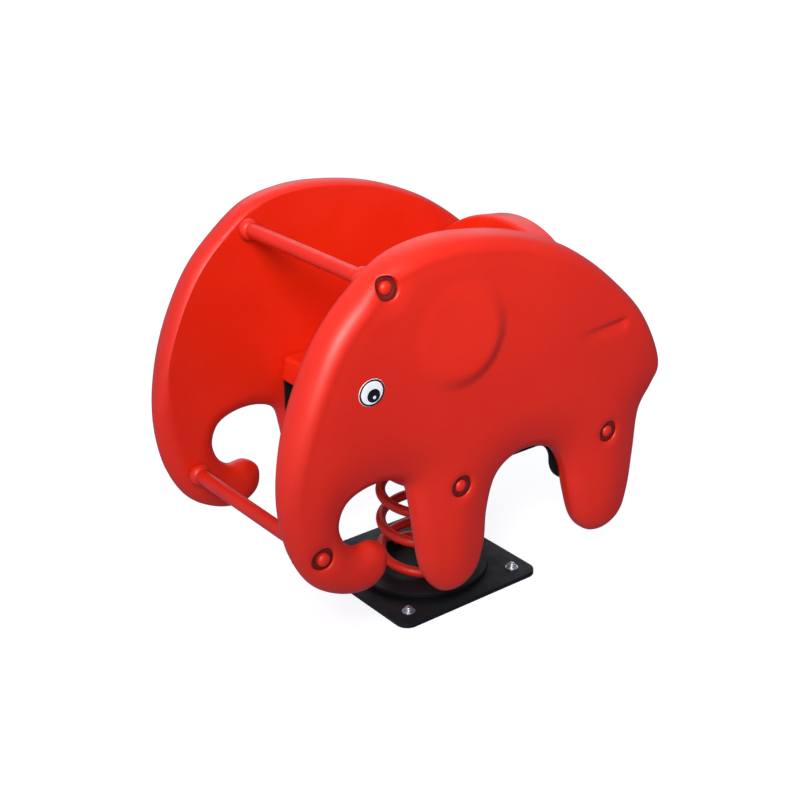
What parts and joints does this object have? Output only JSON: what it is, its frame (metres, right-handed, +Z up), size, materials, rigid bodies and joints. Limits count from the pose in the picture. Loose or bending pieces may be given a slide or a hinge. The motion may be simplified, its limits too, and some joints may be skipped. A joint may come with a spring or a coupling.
{
  "type": "spring rider",
  "caption": "Elephant-shaped spring rider: hollow moulded sides, a saddle seat with backrest, hand and foot bars on a steel cradle, carried by a coil spring on a bolt-down plate.",
  "frame": {"origin": "centre of the base plate's underside, in the middle of the four anchor holes", "axes": "+X forward, towards the trunk; +Y towards the elephant's left side; +Z up along the spring's axis"},
  "size_m": [0.8965, 0.5308, 0.7886],
  "materials": {
    "red_plastic": "satin, fine moulded grain",
    "red_steel": "powder coated",
    "black_steel": "powder coated",
    "zinc_steel": "bright zinc",
    "white_plastic": "smooth",
    "black_plastic": "smooth"
  },
  "bodies": {
    "base": {"base_plate": "black_steel", "anchor_washers": "zinc_steel", "lower_spring_seat": "black_steel", "lower_clamps": "black_steel", "lower_clamp_bolts": "zinc_steel"},
    "coil": {"spring": "red_steel"},
    "rider": {"upper_spring_seat": "black_steel", "upper_clamps": "black_steel", "upper_clamp_bolts": "zinc_steel", "mounting_plate": "black_steel", "mounting_bolts": "zinc_steel", "mounting_nuts": "zinc_steel", "front_cross_tube": "black_steel", "rear_cross_tube": "black_steel", "left_rail": "black_steel", "right_rail": "black_steel", "left_side_bracket": "black_steel", "right_side_bracket": "black_steel", "weld_nuts": "zinc_steel", "seat": "red_plastic", "seat_inserts": "zinc_steel", "seat_bolts": "zinc_steel", "left_panel": "red_plastic", "right_panel": "red_plastic", "handle_bar": "red_steel", "handle_bar_plugs": "zinc_steel", "handle_bar_collars": "red_plastic", "foot_bar": "red_steel", "foot_bar_plugs": "zinc_steel", "foot_bar_collars": "red_plastic", "panel_bolts": "zinc_steel", "panel_washers": "zinc_steel", "bolt_caps": "red_plastic", "eye_discs": "white_plastic", "eye_pupils": "black_plastic"}
  },
  "joints": [
    {"name": "rock_fore_aft", "type": "hinge", "parent": "base", "child": "coil", "pos_m": [0, 0, 0.12], "axis": [0, 1, 0], "range_deg": [-10, 15], "stiffness_Nm_per_rad": 1200, "deforming": ["spring"]},
    {"name": "rock_side", "type": "hinge", "parent": "coil", "child": "rider", "pos_m": [0, 0, 0.18], "axis": [1, 0, 0], "range_deg": [-6, 6], "stiffness_Nm_per_rad": 1200, "deforming": ["spring"]}
  ]
}
